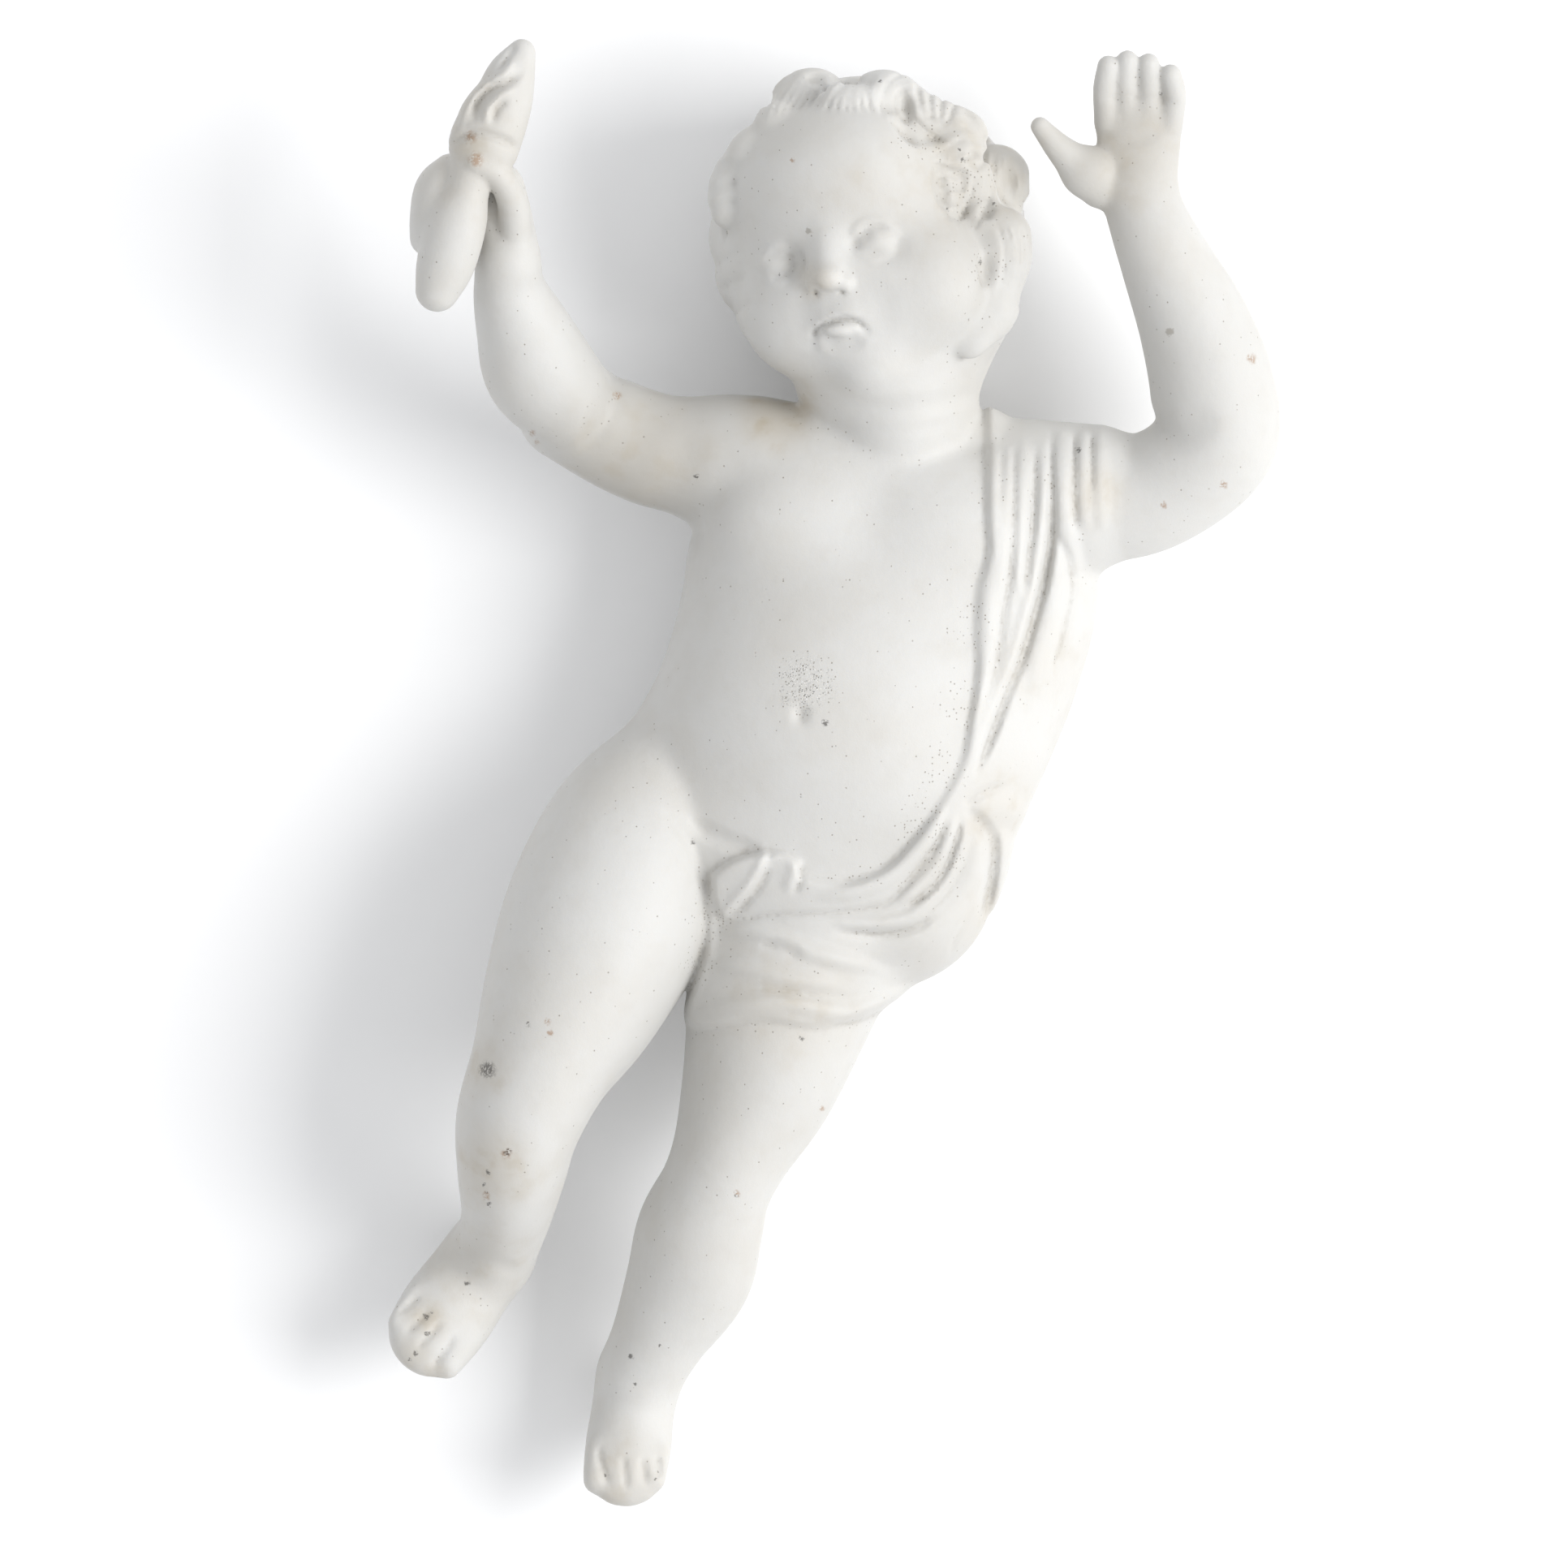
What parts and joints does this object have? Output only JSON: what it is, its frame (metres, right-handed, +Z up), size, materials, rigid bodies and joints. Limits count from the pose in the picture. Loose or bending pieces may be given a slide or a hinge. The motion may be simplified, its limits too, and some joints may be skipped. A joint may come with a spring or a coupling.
{
  "type": "bisque putto figurine",
  "caption": "Unglazed bisque putto lying on its back, a torch in one raised hand, the other hand open, a cloth over one shoulder and the hips.",
  "frame": {"origin": "middle of the small flat under the shoulder blades, on which the figure rests", "axes": "+Y towards the top of the head, +Z up out of the chest, +X to the right of a viewer who looks down on it, which is the figure's left"},
  "size_m": [0.1317, 0.2163, 0.0509],
  "materials": {
    "bisque": "matte, unglazed, with dirt in the creases"
  },
  "bodies": {
    "root": {"putto_figurine": "bisque"}
  },
  "joints": []
}
